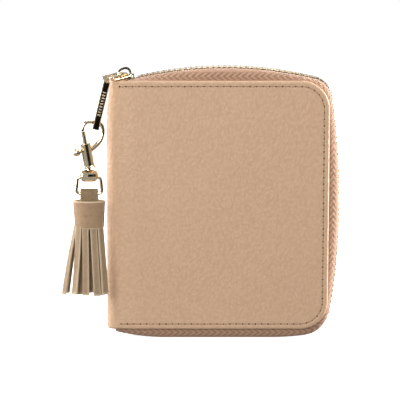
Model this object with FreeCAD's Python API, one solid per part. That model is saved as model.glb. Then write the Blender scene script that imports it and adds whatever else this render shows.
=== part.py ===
"""Zip around wallet with a snap hook and tassel on its puller. Millimetres, +Z up.

The wallet stands upright with its zip closed. The front cover faces -Y, the spine is at -X,
Y = 0 is the middle of the wallet and Z = 0 is the face it stands on.
"""

import FreeCAD, Part
import math
import os

V = FreeCAD.Vector

# Driving dimensions of the wallet
DEPTH = 22.0
COVER_LEFT, COVER_RIGHT = -50.0, 50.0
COVER_BOTTOM, COVER_TOP = 4.6, 117.6
CORNER_RADIUS = 12.7
SPINE_RADIUS = 4.0
SKIN = 1.1
BOARD = 0.8
HEM = 5.0
LINING = 0.4
FOLD_GAP = 0.2

# Zip chain: the path of its middle line, its teeth and its tape
TOP_ARC_CENTRE, TOP_ARC_RADIUS = (3.0, -53.4), 176.0
SIDE_ARC_CENTRE, SIDE_ARC_RADIUS = (-262.5, 62.0), 317.0
UPPER_CORNER_RADIUS, LOWER_CORNER_RADIUS = 10.0, 12.0
BASE_LEFT, BASE_RIGHT = -24.0, 24.0
BASE_END_RADII = (90.0, 120.0)
CHAIN_START_X = -46.5
HALF_PITCH = 1.25
TOOTH_LENGTH = 0.95
TOOTH_HEIGHT = 2.3
BASE_LIFT = TOOTH_HEIGHT / 2
TOOTH_REACH = 0.9
JAW_END = 4.0
TAPE = 0.6
TAPE_EDGE_Y = 2.5
TAPE_SLOT = 0.12
NOTCH_X, NOTCH_LENGTH = -48.0, 13.0

# Slider, parked at the left end of the top run
SLIDER_ANGLE = -14.65
SLIDER_LENGTH = 8.0
SLIDER_HALF_WIDTH = 5.1
PLATE_GAP = 1.35
PLATE = 1.05
BRIDGE_HEIGHT = 6.2
BRIDGE_WIDTH = 1.8
BRIDGE_BAND = 0.85

# Charm: pull link, bar, snap hook, swivel and tassel
LINK_WIRE = 1.2
LINK_INSIDE = 3.6
LINK_FAR = V(-43.35, 2.4, 120.1)
LINK_NEAR = V(-49.3, -15.3, 119.1)
BAR_SIDE = 3.2
BAR_LENGTH = 21.5
BAR_TILT = 14.0
BAR_TURN = 20.0
BAR_EYE = 2.9
BAR_HOLE_RADIUS = 1.2
BAR_RIBS = 9
RIB_START, RIB_MARGIN, RIB_DEPTH = 4.0, 6.0, 0.3
HOOK_WIRES = (2.3, 1.7, 1.5)
BARREL_LENGTH = 10.6
BARREL_RADIUS = 2.3
BORE_RADIUS = 1.65
BORE = (1.3, 9.7)
HEAD = (1.55, 2.15)
BOLT_RADIUS = 0.87
BOLT_TRAVEL = 3.8
PISTON = (6.7, 9.5)
LEVER_HEIGHT = 7.7
SWIVEL = V(-57.5, -16.7, 81.3)
EYE_BAR_Z = 67.9
EYE_WIRE = 1.4
STRAP_WIDTH = 7.8
STRAP = 1.2
CAP_TOP, CAP_BOTTOM = 64.7, 52.4
CAP_HALF = (7.2, 5.0)
CAP_WALL = 1.3
CAP_WAIST = 0.945
FRINGE_BOTTOM = 23.0
FRINGE_COUNT = 10
FRINGE_RING = (5.35, 3.55)
STRAND = (2.6, 1.1)

# Pockets
PLY = 0.5
PLY_GAP = 0.1
POCKET_LEFT, POCKET_RIGHT = -44.5, 45.5
POCKET_LOW = COVER_BOTTOM + 6.5
CARD_STEP = 13.0
COIN_DEPTH = 3.8
COIN_MOUTH_Z = 96.0
COIN_MOUTH_X = (-36.0, 38.0)

FRONT = -DEPTH / 2
SHELL = SKIN + BOARD
INNER = DEPTH / 2 - SHELL
ROUND_X = COVER_LEFT + SPINE_RADIUS
ROUND_Y = DEPTH / 2 - SPINE_RADIUS
COS45 = math.cos(math.pi / 4)


def save(name, *shapes):
    """Write one node, whose separate solids share a file."""
    shape = shapes[0] if len(shapes) == 1 else Part.makeCompound(list(shapes))
    shape.exportStep(f"parts/{name}.step")


def to_back(shape):
    """The same shape on the back half of the wallet."""
    return shape.mirror(V(0, 0, 0), V(0, 1, 0))


def plate(x, y, z, right=0.0, left=0.0):
    """A flat panel between pairs of X, Y and Z, with its right and left corners rounded."""
    body = Part.makeBox(x[1] - x[0], y[1] - y[0], z[1] - z[0], V(x[0], y[0], z[0]))
    for side, radius in ((x[1], right), (x[0], left)):
        if radius:
            corners = [e for e in body.Edges if edge_along_y(e) and abs(e.Vertexes[0].X - side) < 1e-6]
            body = body.makeFillet(radius, corners)
    return body


def edge_along_y(edge):
    """Whether a straight edge runs along Y."""
    if len(edge.Vertexes) != 2:
        return False
    run = edge.Vertexes[1].Point - edge.Vertexes[0].Point
    return abs(run.y) > 1e-6 and abs(run.x) + abs(run.z) < 1e-6


def tube_path(points, radius):
    """A round wire through straight runs whose corners are arcs of one radius."""
    edges = []
    last = points[0]
    for before, corner, after in zip(points, points[1:], points[2:]):
        into, out = (before - corner).normalize(), (after - corner).normalize()
        half = into.getAngle(out) / 2
        reach = radius / math.tan(half)
        start, end = corner + into * reach, corner + out * reach
        middle = corner + (into + out).normalize() * (radius / math.sin(half) - radius)
        edges += [Part.makeLine(last, start), Part.Arc(start, middle, end).toShape()]
        last = end
    edges.append(Part.makeLine(last, points[-1]))
    return Part.Wire(edges)


def wire_solid(path, diameter):
    """A round wire of constant thickness along a path."""
    start = path.Edges[0].firstVertex().Point
    way = path.Edges[0].tangentAt(path.Edges[0].FirstParameter)
    ring = Part.Wire(Part.makeCircle(diameter / 2, start, way))
    return path.makePipeShell([ring], True, True)


def placed(shape, x_axis, y_axis, origin):
    """A shape drawn about the origin, turned to the given axes and moved."""
    x, y = V(x_axis).normalize(), V(y_axis).normalize()
    z = x.cross(y)
    matrix = FreeCAD.Matrix(
        x.x, y.x, z.x, origin.x,
        x.y, y.y, z.y, origin.y,
        x.z, y.z, z.z, origin.z,
        0, 0, 0, 1)
    moved = shape.copy()
    moved.Placement = FreeCAD.Placement(matrix) * shape.Placement
    return moved


# Covers and spine


def cover_leather():
    """Front cover leather: the skin, its turned hem and the quarter round of the spine edge."""
    def arc(radius):
        centre = V(ROUND_X, -ROUND_Y, COVER_BOTTOM)
        middle = centre + V(-radius, -radius, 0) * COS45
        return [centre + V(0, -radius, 0), middle, centre + V(-radius, 0, 0)]

    outer, inner = arc(SPINE_RADIUS), arc(SPINE_RADIUS - SHELL)
    right = (V(COVER_RIGHT, FRONT, COVER_BOTTOM), V(COVER_RIGHT, FRONT + SHELL, COVER_BOTTOM))
    wire = Part.Wire([
        Part.makeLine(right[0], outer[0]),
        Part.Arc(*outer).toShape(),
        Part.makeLine(outer[2], inner[2]),
        Part.Arc(*reversed(inner)).toShape(),
        Part.makeLine(inner[0], right[1]),
        Part.makeLine(right[1], right[0]),
    ])
    body = Part.Face(wire).extrude(V(0, 0, COVER_TOP - COVER_BOTTOM))
    corners = [e for e in body.Edges if edge_along_y(e) and abs(e.Vertexes[0].X - COVER_RIGHT) < 1e-6]
    body = body.makeFillet(CORNER_RADIUS, corners)
    return body.cut(board(0.0))


def board(clearance):
    """The stiff board that lies in the recess between the skin and the hem."""
    inset = HEM + clearance
    return plate(
        (ROUND_X + 1 + clearance, COVER_RIGHT - inset),
        (FRONT + SKIN, FRONT + SHELL),
        (COVER_BOTTOM + inset, COVER_TOP - inset),
        right=CORNER_RADIUS - inset,
    )


def spine_panel(inside, thickness, trim):
    """A flat layer of the spine, a given depth inside its outer face."""
    reach = ROUND_Y - FOLD_GAP
    return plate(
        (COVER_LEFT + inside, COVER_LEFT + inside + thickness),
        (-reach, reach),
        (COVER_BOTTOM + trim, COVER_TOP - trim),
    )


def make_covers():
    leather = cover_leather()
    stiffener = board(0.1)
    lining = plate(
        (ROUND_X + 0.5, COVER_RIGHT - 5.5), (FRONT + SHELL, FRONT + SHELL + LINING),
        (COVER_BOTTOM + 5.5, COVER_TOP - 5.5), right=CORNER_RADIUS - 5.5,
    )
    for side, turn in (("front", lambda s: s), ("back", to_back)):
        save(f"{side}_cover", turn(leather))
        save(f"{side}_board", turn(stiffener))
        save(f"{side}_lining", turn(lining))
    save("spine_cover", spine_panel(0.0, SHELL, 0.0))
    save("spine_lining", spine_panel(SHELL, LINING, 1.5))


# Zip chain


def on_circle(centre, radius, x=None, towards=None):
    """The upper or outer point of a circle in the XZ plane, at an X or towards a point."""
    if towards is None:
        return V(x, 0, centre[1] + math.sqrt(radius**2 - (x - centre[0]) ** 2))
    way = V(towards[0] - centre[0], 0, towards[1] - centre[1]).normalize()
    return V(centre[0], 0, centre[1]) + way * radius


def corner_between(first, first_radius, second, second_radius, radius, upper):
    """Centre of the circle that rounds the corner inside two larger circles."""
    a, b = first_radius - radius, second_radius - radius
    dx, dz = second[0] - first[0], second[1] - first[1]
    gap = math.hypot(dx, dz)
    along = (a * a - b * b + gap * gap) / (2 * gap)
    aside = math.sqrt(a * a - along * along)
    foot = (first[0] + dx * along / gap, first[1] + dz * along / gap)
    options = [(foot[0] + s * dz * aside / gap, foot[1] - s * dx * aside / gap) for s in (1, -1)]
    return max(options) if upper else max(options, key=lambda p: p[0])


def arc_about(centre, start, end):
    """The shorter arc about a centre from one point to another."""
    hub = V(centre[0], 0, centre[1])
    middle = hub + ((start + end) / 2 - hub).normalize() * (start - hub).Length
    return Part.Arc(start, middle, end).toShape()


def chain_path():
    """Middle line of the chain: over the top, down the right side and back along the base."""
    left_end, right_end = BASE_END_RADII
    left_hub, right_hub = (BASE_LEFT, BASE_LIFT + left_end), (BASE_RIGHT, BASE_LIFT + right_end)
    upper = corner_between(
        TOP_ARC_CENTRE, TOP_ARC_RADIUS, SIDE_ARC_CENTRE, SIDE_ARC_RADIUS, UPPER_CORNER_RADIUS, True)
    lower = corner_between(
        right_hub, right_end, SIDE_ARC_CENTRE, SIDE_ARC_RADIUS, LOWER_CORNER_RADIUS, False)
    start = on_circle(TOP_ARC_CENTRE, TOP_ARC_RADIUS, x=CHAIN_START_X)
    top_end = on_circle(TOP_ARC_CENTRE, TOP_ARC_RADIUS, towards=upper)
    side_top = on_circle(SIDE_ARC_CENTRE, SIDE_ARC_RADIUS, towards=upper)
    side_bottom = on_circle(SIDE_ARC_CENTRE, SIDE_ARC_RADIUS, towards=lower)
    base_end = on_circle(right_hub, right_end, towards=lower)
    base = [V(BASE_RIGHT, 0, BASE_LIFT), V(BASE_LEFT, 0, BASE_LIFT)]
    drop = math.sqrt(left_end**2 - (CHAIN_START_X - BASE_LEFT) ** 2)
    finish = V(CHAIN_START_X, 0, left_hub[1] - drop)
    return Part.Wire([
        arc_about(TOP_ARC_CENTRE, start, top_end),
        arc_about(upper, top_end, side_top),
        arc_about(SIDE_ARC_CENTRE, side_top, side_bottom),
        arc_about(lower, side_bottom, base_end),
        arc_about(right_hub, base_end, base[0]),
        Part.makeLine(base[0], base[1]),
        arc_about(left_hub, base[1], finish),
    ])


def edge_frame(p):
    """Nearest point of the cover's outline, the outward way there, and how far outside p is."""
    corner_x = COVER_RIGHT - CORNER_RADIUS
    low, high = COVER_BOTTOM + CORNER_RADIUS, COVER_TOP - CORNER_RADIUS
    if p.x <= corner_x:
        top = p.z > (low + high) / 2
        edge = V(p.x, 0, COVER_TOP if top else COVER_BOTTOM)
        way = V(0, 0, 1 if top else -1)
    elif low <= p.z <= high:
        edge, way = V(COVER_RIGHT, 0, p.z), V(1, 0, 0)
    else:
        hub = V(corner_x, 0, high if p.z > high else low)
        way = (p - hub).normalize()
        edge = hub + way * CORNER_RADIUS
    return edge, way, (p - edge).dot(way)


def tape_line(bulge, down):
    """Cross-section of the front tape as (Y, distance outside the cover's outline) pairs.

    The tape is glued flat inside the hem, comes out round the cover's edge and turns in to
    the teeth. Under the base it bellies a little past the teeth, so that the wallet stands on it.
    """
    rim = INNER - TAPE / 2 - 0.04
    depth = 3.5 - 1.1 * down
    belly = bulge + (BASE_LIFT - TAPE / 2) * down
    turn = min(-0.6, belly - 1.6)
    points = [(rim, min(-4.5, turn - 1.4)), (rim, turn - 0.8)]
    for step in range(7):
        angle = math.radians(15 * step)
        points.append((rim - depth * (1 - math.cos(angle)), turn + (belly - turn) * math.sin(angle)))
    return points + [(4.95, belly), (JAW_END + 0.2, bulge), (TAPE_EDGE_Y, bulge)]


def tape_section(p):
    """Closed outline of the tape where the chain passes through p."""
    edge, way, bulge = edge_frame(p)
    down = max(0.0, -way.z) ** 2
    line = [V(y, n, 0) for y, n in tape_line(bulge, down)]
    sides = ([], [])
    for i, point in enumerate(line):
        run = (line[min(i + 1, len(line) - 1)] - line[max(i - 1, 0)]).normalize()
        off = V(run.y, -run.x, 0) * (TAPE / 2)
        sides[0].append(point + off)
        sides[1].append(point - off)
    flat = sides[0] + sides[1][::-1]
    loop = [edge + way * q.y + V(0, -q.x, 0) for q in flat]
    return Part.makePolygon(loop + [loop[0]])


def zip_tape(path):
    """The front tape as a ruled loft along the whole chain."""
    stations = []
    for edge in path.OrderedEdges:
        radius = edge.Curve.Radius if hasattr(edge.Curve, "Radius") else 1000.0
        step = max(1.6, 0.5 * math.sqrt(radius))
        stations += edge.discretize(Number=max(2, round(edge.Length / step) + 1))[:-1]
    stations.append(path.OrderedVertexes[-1].Point)
    return Part.makeLoft([tape_section(p) for p in stations], True, True)


def tooth():
    """One tooth at the origin: chain along X, teeth meeting at Y = 0, +Z outward."""
    half, slot, head = TOOTH_HEIGHT / 2, TAPE / 2 + TAPE_SLOT, 0.35
    foot, slot_end = -JAW_END, -TAPE_EDGE_Y + 0.2
    upper = [
        (TOOTH_REACH, half - head), (TOOTH_REACH - head, half),
        (foot + 0.5, half), (foot, half - 0.4), (foot, slot), (slot_end, slot),
    ]
    profile = upper + [(y, -z) for y, z in reversed(upper)]
    loop = [V(-TOOTH_LENGTH / 2, y, z) for y, z in profile]
    return Part.Face(Part.makePolygon(loop + [loop[0]])).extrude(V(TOOTH_LENGTH, 0, 0))


def along_chain(shape, before, here, after):
    """A shape drawn at the origin, set on the chain at a point between two others."""
    run = (after - before).normalize()
    return placed(shape, run, V(0, 1, 0), here)


def make_zip():
    path = chain_path()
    count = 2 * int(path.Length / (2 * HALF_PITCH)) + 1
    stops = path.discretize(Number=count)
    tape = zip_tape(path)
    save("front_zip_tape", tape)
    notch = Part.makeBox(NOTCH_LENGTH, 4.2, 14.0, V(NOTCH_X, 1.8, COVER_TOP - 7.6))
    save("back_zip_tape", to_back(tape).cut(notch))
    front_tooth = tooth()
    back_tooth = to_back(front_tooth)
    slots = range(3, count - 4)
    front = [along_chain(front_tooth, *stops[i - 1:i + 2]) for i in slots if i % 2]
    clear_x = COVER_LEFT + 14.0
    back = [along_chain(back_tooth, *stops[i - 1:i + 2]) for i in slots
            if not i % 2 and not (stops[i].z > COVER_TOP / 2 and stops[i].x < clear_x)]
    save("front_zip_teeth", *front)
    save("back_zip_teeth", *back)
    slot = Part.makeBox(4.0, 3.0, TAPE + 2 * TAPE_SLOT, V(-2.0, -JAW_END - 1.0, -TAPE / 2 - TAPE_SLOT))
    stop = Part.makeBox(3.0, 3.4, TOOTH_HEIGHT, V(-1.5, -JAW_END - 0.2, -TOOTH_HEIGHT / 2)).cut(slot)
    stop_ends = (stops[0:3], stops[-3:])
    save("front_zip_stops", *[along_chain(stop, *end) for end in stop_ends])
    save("back_zip_stop", along_chain(to_back(stop), *stop_ends[1]))


# Pockets


def make_pockets():
    full = (POCKET_LEFT, POCKET_RIGHT)
    card = (POCKET_LEFT + 1, POCKET_RIGHT - 1)
    card_low = POCKET_LOW + 0.5
    y = -INNER + LINING + PLY_GAP
    save("bill_pocket", plate(full, (y, y + PLY), (POCKET_LOW, COVER_TOP - 8.0), right=8.0))
    for i in range(4):
        y += PLY + PLY_GAP
        top = COVER_TOP - 22.0 - CARD_STEP * i
        save(f"card_slot_{i + 1}", plate(card, (y, y + PLY), (card_low, top), right=1.0))
    face = INNER - LINING - COIN_DEPTH
    save("coin_pocket", coin_pocket(face))
    make_coin_zip(face)
    y = face - PLY_GAP
    for i in range(2):
        top = COVER_TOP - 59.6 - CARD_STEP * i
        save(f"back_card_slot_{i + 1}", plate(card, (y - PLY, y), (card_low, top), right=1.0))
        y -= PLY + PLY_GAP
    make_window(y)


def make_window(y):
    """The identity window on the back card slots: a leather frame and its clear film."""
    half, low, top = 30.0, POCKET_LOW + 2.0, 32.0
    frame = plate((-half, half), (y - PLY, y), (low, top), right=2.0, left=2.0)
    half, low, top = half - 4.0, low + 4.0, top - 3.5
    hole = plate((-half, half), (y - 1.0, y + 1.0), (low, top), right=1.5, left=1.5)
    save("id_window_frame", frame.cut(hole))
    half, low, top = half - 0.2, low + 0.2, top - 0.2
    save("id_window_film", plate((-half, half), (y - 0.35, y - 0.05), (low, top), right=1.3, left=1.3))


def coin_pocket(face):
    """A flat gusseted pouch against the back lining, with its zip across the upper front."""
    left, right, low, top = POCKET_LEFT, POCKET_RIGHT, POCKET_LOW, COVER_TOP - 9.0
    back, wall = INNER - LINING - PLY_GAP, 0.7
    outer = plate((left, right), (face, back), (low, top), right=7.5)
    inside = plate(
        (left + wall, right - wall), (face + 0.6, back - 0.4), (low + wall, top - wall), right=7.5 - wall)
    mouth = Part.makeBox(
        COIN_MOUTH_X[1] - COIN_MOUTH_X[0], 2.0, 8.0, V(COIN_MOUTH_X[0], face - 1.0, COIN_MOUTH_Z - 4.0))
    return outer.cut(inside).cut(mouth)


def make_coin_zip(face):
    x0, x1 = COIN_MOUTH_X
    y, z = face + 0.15, COIN_MOUTH_Z
    upper, lower = (z + 0.9, z + 3.9), (z - 3.9, z - 0.9)
    save("coin_zip_tape", *[plate((x0 + 0.1, x1 - 0.1), (y, y + 0.4), pair) for pair in (upper, lower)])
    coil = []
    count = int((x1 - x0 - 6.0) / 1.0)
    for i in range(count):
        side = 1 if i % 2 else -1
        coil.append(Part.makeBox(0.8, 0.9, 1.5, V(x0 + 3.1 + i, y - 0.25, z - 0.75 + 0.12 * side)))
    save("coin_zip_coil", *coil)
    stops = []
    for x in (x0 + 0.8, x1 - 2.4):
        slot = Part.makeBox(3.0, 0.5, 6.0, V(x - 1.0, y - 0.05, z - 3.0))
        stops.append(Part.makeBox(1.6, 0.9, 4.2, V(x, y - 0.25, z - 2.1)).cut(slot))
    save("coin_zip_stops", *stops)
    body = Part.makeBox(6.4, 0.8, 6.0, V(x0 + 3.6, y - 1.2, z - 3.0))
    body = body.makeFillet(0.25, body.Edges)
    ear = Part.makeBox(1.6, 1.6, 1.4, V(x0 + 7.6, y - 2.6, z - 0.7))
    eye = Part.makeCylinder(0.42, 2.0, V(x0 + 8.4, y - 1.9, z - 1.0), V(0, 0, 1))
    save("coin_slider", body.fuse(ear).removeSplitter().cut(eye))
    pull_coin(x0 + 8.4, y - 1.9)


def pull_coin(x, y):
    """The coin zip's puller: a loop round the slider's ear and a flat tab hanging beside it."""
    z = COIN_MOUTH_Z
    pin = Part.makeCylinder(0.34, 3.0, V(x, y, z - 1.5), V(0, 0, 1))
    arms = [Part.makeBox(3.4, 0.7, 0.7, V(x - 0.35, y - 0.35, z + s)) for s in (0.95, -1.65)]
    tab = plate((x + 2.6, x + 16.0), (y - 0.35, y + 0.35), (z - 1.65, z + 1.65), right=1.6)
    body = pin.fuse(arms + [tab]).removeSplitter()
    save("coin_puller", body)


# Slider and charm


def slider_frame():
    """The slider's place: its centre on the chain, the way along the chain and the way out."""
    angle = math.radians(SLIDER_ANGLE)
    out = V(math.sin(angle), 0, math.cos(angle))
    along = V(math.cos(angle), 0, -math.sin(angle))
    hub = V(TOP_ARC_CENTRE[0], 0, TOP_ARC_CENTRE[1])
    return hub + out * TOP_ARC_RADIUS, along, out


def slider_plate():
    """The outer plate of the slider with its two side flanges, drawn about the chain's middle."""
    half = SLIDER_LENGTH / 2
    top = PLATE_GAP + PLATE
    flange_end = 0.62
    side = [
        (-half, 3.6), (-half + 1.6, SLIDER_HALF_WIDTH), (half - 1.0, SLIDER_HALF_WIDTH - 0.2), (half, 3.9)]
    outline = side + [(x, -y) for x, y in reversed(side)]
    loop = [V(x, y, flange_end) for x, y in outline]
    body = Part.Face(Part.makePolygon(loop + [loop[0]])).extrude(V(0, 0, top - flange_end))
    rim = [e for e in body.Edges if abs(e.BoundBox.ZMin - top) < 1e-6]
    body = body.makeFillet(0.55, rim)
    reach = JAW_END + 0.25
    channel = Part.makeBox(SLIDER_LENGTH + 2, 2 * reach, PLATE_GAP, V(-half - 1, -reach, 0))
    return body.cut(channel)


def bridge_arch(inset, crown, foot):
    """Outline of the bridge's side view, moved in by an inset, between its crown and its foot."""
    half, shoulder = 3.3 - inset, PLATE_GAP + PLATE + 0.9
    left, peak, right = V(-half, 0, shoulder), V(0.2, 0, crown), V(half, 0, shoulder + 0.3)
    over_left = V(-half + 1.15 - 0.35 * inset, 0, crown - 0.75 + 0.3 * inset)
    over_right = V(half - 0.75 + 0.35 * inset, 0, crown - 0.6 + 0.18 * inset)
    corners = [right, V(half, 0, foot), V(-half, 0, foot), left]
    arcs = [Part.Arc(left, over_left, peak).toShape(), Part.Arc(peak, over_right, right).toShape()]
    return Part.Face(Part.Wire(arcs + [Part.makeLine(a, b) for a, b in zip(corners, corners[1:])]))


def bridge():
    """The arched band over the slider that the pull link hangs in."""
    foot = PLATE_GAP + PLATE
    width = V(0, BRIDGE_WIDTH, 0)
    band = bridge_arch(0.0, BRIDGE_HEIGHT, foot).extrude(width)
    opening = bridge_arch(BRIDGE_BAND, BRIDGE_HEIGHT - 0.95, foot - 1).extrude(width)
    body = band.cut(opening)
    body.translate(width * -0.5)
    return body


def make_slider():
    centre, along, _ = slider_frame()
    for name, shape in (
        ("slider_top_plate", slider_plate()),
        ("slider_bottom_plate", slider_plate().mirror(V(0, 0, 0), V(0, 0, 1))),
        ("slider_bridge", bridge()),
    ):
        save(name, placed(shape, along, V(0, 1, 0), centre))


def make_link():
    """A rounded rectangular ring from the bridge to the bar."""
    along = (LINK_NEAR - LINK_FAR).normalize()
    across = V(0, 0, 1).cross(along).normalize()
    half = (LINK_INSIDE + LINK_WIRE) / 2
    aside = across * half
    corners = [LINK_FAR + aside, LINK_NEAR + aside, LINK_NEAR - aside, LINK_FAR - aside]
    path = tube_path([LINK_FAR] + corners + [LINK_FAR], 1.25)
    save("pull_link", wire_solid(path, LINK_WIRE))
    return across


def bar_axes():
    """The bar's three directions: along it, across it through its sides, and out of its face."""
    tilt, turn = math.radians(BAR_TILT), math.radians(BAR_TURN)
    down = V(-math.sin(tilt), 0, -math.cos(tilt))
    side = V(math.cos(tilt) * math.cos(turn), math.sin(turn), -math.sin(tilt) * math.cos(turn))
    return down, side, down.cross(side)


def make_bar(across):
    """The square bar: a flat tab with an eye on top, a ribbed face and a cross hole below."""
    down, side, face = bar_axes()
    top = LINK_NEAR + down * 1.75
    half = BAR_SIDE / 2
    body = Part.makeBox(BAR_SIDE, BAR_SIDE, BAR_LENGTH, V(-half, -half, 0))
    body = body.makeChamfer(0.4, [e for e in body.Edges if abs(e.Vertexes[0].Z - e.Vertexes[-1].Z) > 1])
    hole = Part.makeCylinder(BAR_HOLE_RADIUS, 8, V(-4, 0, BAR_LENGTH - BAR_EYE), V(1, 0, 0))
    run = BAR_LENGTH - RIB_START - RIB_MARGIN
    panel = Part.makeBox(1.8, 1.0, run, V(-0.9, half - RIB_DEPTH, RIB_START))
    pitch = run / BAR_RIBS
    ribs = []
    for i in range(BAR_RIBS):
        corner = V(-0.65, half - RIB_DEPTH - 0.05, RIB_START + pitch * (i + 0.25))
        ribs.append(Part.makeBox(1.3, RIB_DEPTH, pitch / 2, corner))
    body = body.cut(hole).cut(panel).fuse(ribs)
    tab = Part.makeCylinder(1.45, 1.4, V(0, 0, -0.7)).fuse(Part.makeBox(2.3, 2.9, 1.4, V(0, -1.45, -0.7)))
    tab = tab.cut(Part.makeCylinder(LINK_WIRE / 2 + 0.12, 4, V(0, 0, -2)))
    reach = down - across * down.dot(across)
    tab = placed(tab, reach, across.cross(reach), LINK_NEAR)
    save("pull_bar", placed(body, side, face, top).fuse(tab).removeSplitter())
    return top + down * (BAR_LENGTH - BAR_EYE)


def barrel_frame():
    """The barrel's foot, its axis upward and the way its slot faces."""
    lean = math.radians(9.6)
    axis = V(-math.sin(lean), 0, math.cos(lean))
    turn = math.radians(BAR_TURN)
    plane = V(math.cos(turn), math.sin(turn), 0)
    left = (axis * plane.dot(axis) - plane).normalize()
    return SWIVEL - axis * (HEAD[0] + HEAD[1]) / 2, axis, left


def curved_wire(points, diameters, sections):
    """A round wire along a smooth curve, its thickness changing evenly between the given ones."""
    curve = Part.BSplineCurve()
    curve.interpolate(points)
    rings = []
    for i in range(sections):
        share = i / (sections - 1)
        at = curve.FirstParameter + share * (curve.LastParameter - curve.FirstParameter)
        place = share * (len(diameters) - 1)
        first = min(int(place), len(diameters) - 2)
        diameter = diameters[first] + (diameters[first + 1] - diameters[first]) * (place - first)
        circle = Part.Circle(curve.value(at), curve.tangent(at)[0], diameter / 2)
        rings.append(Part.Wire(circle.toShape()))
    return Part.makeLoft(rings, True)


def hook_loop(eye):
    """The hook's curved wire, thickest where it leaves the barrel."""
    turn = math.radians(BAR_TURN)
    plane = V(math.cos(turn), math.sin(turn), 0)
    spots = [
        (-3.9, -12.8), (-1.2, -11.0), (1.1, -8.9), (2.6, -6.2), (3.05, -3.6), (2.7, -1.5), (1.6, -0.25),
        (0, 0), (-1.6, 0.3), (-3.6, 0.5), (-5.4, -0.5), (-6.3, -2.4), (-6.5, -3.6),
    ]
    points = [eye + plane * u + V(0, 0, z) for u, z in spots]
    return curved_wire(points, HOOK_WIRES, 17), points[-1]


def spring_coil(low, high):
    """The bolt's coil spring between two heights of the bore, an eight-sided wire."""
    radius, wire = BORE_RADIUS - 0.5, 0.2
    turns, steps, sides = 5, 12, 8
    rise = (high - low) / (turns * steps)
    rings = []
    for i in range(turns * steps + 1):
        angle = 2 * math.pi * i / steps
        out = V(math.cos(angle), math.sin(angle), 0)
        way = V(-radius * out.y, radius * out.x, rise * steps / (2 * math.pi)).normalize()
        centre = out * radius + V(0, 0, low + rise * i)
        corners = [2 * math.pi * k / sides for k in range(sides + 1)]
        across = way.cross(out)
        rings.append(Part.makePolygon(
            [centre + (out * math.cos(c) + across * math.sin(c)) * wire for c in corners]))
    return Part.makeLoft(rings, True, True)


def make_hook(eye):
    """Snap hook: loop and barrel in one casting, with a sprung bolt that closes the loop."""
    foot, axis, left = barrel_frame()
    loop, tip = hook_loop(eye)
    barrel = Part.makeCylinder(BARREL_RADIUS, BARREL_LENGTH)
    barrel = barrel.fuse(Part.makeCone(3.1, BARREL_RADIUS, 0.9)).removeSplitter()
    bore = Part.makeCylinder(BORE_RADIUS, BORE[1] - BORE[0], V(0, 0, BORE[0]))
    neck_hole = Part.makeCylinder(1.3, 4, V(0, 0, -1))
    pin_hole = Part.makeCylinder(BOLT_RADIUS + 0.12, 4, V(0, 0, BORE[1] - 1))
    low = LEVER_HEIGHT - BOLT_TRAVEL - 0.85
    slot = Part.makeBox(4, 1.7, LEVER_HEIGHT + 0.85 - low, V(0, -0.85, low))
    cavity = bore.fuse([neck_hole, pin_hole, slot])
    barrel = placed(barrel, left, axis.cross(left), foot)
    cavity = placed(cavity, left, axis.cross(left), foot)
    save("snap_hook", barrel.fuse(loop).cut(cavity).removeSplitter())
    reach = (tip - foot).dot(axis) - HOOK_WIRES[2] / 2 + 0.35
    bolt = Part.makeCylinder(BORE_RADIUS - 0.12, PISTON[1] - PISTON[0], V(0, 0, PISTON[0]))
    pin = Part.makeCylinder(BOLT_RADIUS, reach - PISTON[1] + 0.2, V(0, 0, PISTON[1] - 0.2))
    lever = Part.makeCylinder(0.7, 4.4, V(0, 0, LEVER_HEIGHT), V(1, 0, 0))
    knob = Part.makeSphere(1.75, V(4.6, 0, LEVER_HEIGHT))
    bolt = bolt.fuse([pin, lever, knob]).removeSplitter()
    save("snap_bolt", placed(bolt, left, axis.cross(left), foot))
    spring = spring_coil(HEAD[1] + 0.65, PISTON[0] - 0.4)
    save("snap_spring", placed(spring, left, axis.cross(left), foot))


def make_swivel():
    """The swivel: a riveted neck and a domed block that carries the eye."""
    block_top, block_bottom = 78.3, 73.4
    profile = [
        (0, block_top), (2.0, block_top), (3.5, 77.7), (4.1, 76.9),
        (4.15, 75.8), (3.8, 74.5), (3.0, block_bottom), (0, block_bottom)]
    loop = [V(r, 0, z) for r, z in profile]
    block = Part.Face(Part.makePolygon(loop + [loop[0]])).revolve(V(0, 0, 0), V(0, 0, 1), 360)
    head_low = SWIVEL.z - (HEAD[1] - HEAD[0]) / 2
    rivet = Part.makeCylinder(1.45, HEAD[1] - HEAD[0], V(0, 0, head_low))
    neck = Part.makeCylinder(0.8, head_low - block_top + 0.6, V(0, 0, block_top - 0.5))
    corners = [V(x, 0, z) for x, z in (
        (-1.5, 75.6), (-5.1, 74.9), (-5.9, EYE_BAR_Z), (5.9, EYE_BAR_Z), (5.1, 74.9), (1.5, 75.6))]
    eye = wire_solid(tube_path(corners, 1.5), EYE_WIRE)
    socket = Part.makeCylinder(0.8, 3, V(0, 0, block_top - 0.5))
    carrier = block.fuse(eye).removeSplitter().cut(socket)
    for name, shape in (("swivel_eye", carrier), ("swivel_rivet", rivet.fuse(neck).removeSplitter())):
        shape.translate(V(SWIVEL.x, SWIVEL.y, 0))
        save(name, shape)


def oval(z, grow=0.0, scale=1.0):
    """An oval outline of the tassel at a height, grown outward by an amount."""
    half = [h * scale + grow for h in CAP_HALF]
    ring = Part.Ellipse(V(SWIVEL.x, SWIVEL.y, z), half[0], half[1]).toShape()
    return Part.Wire(ring)


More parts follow.
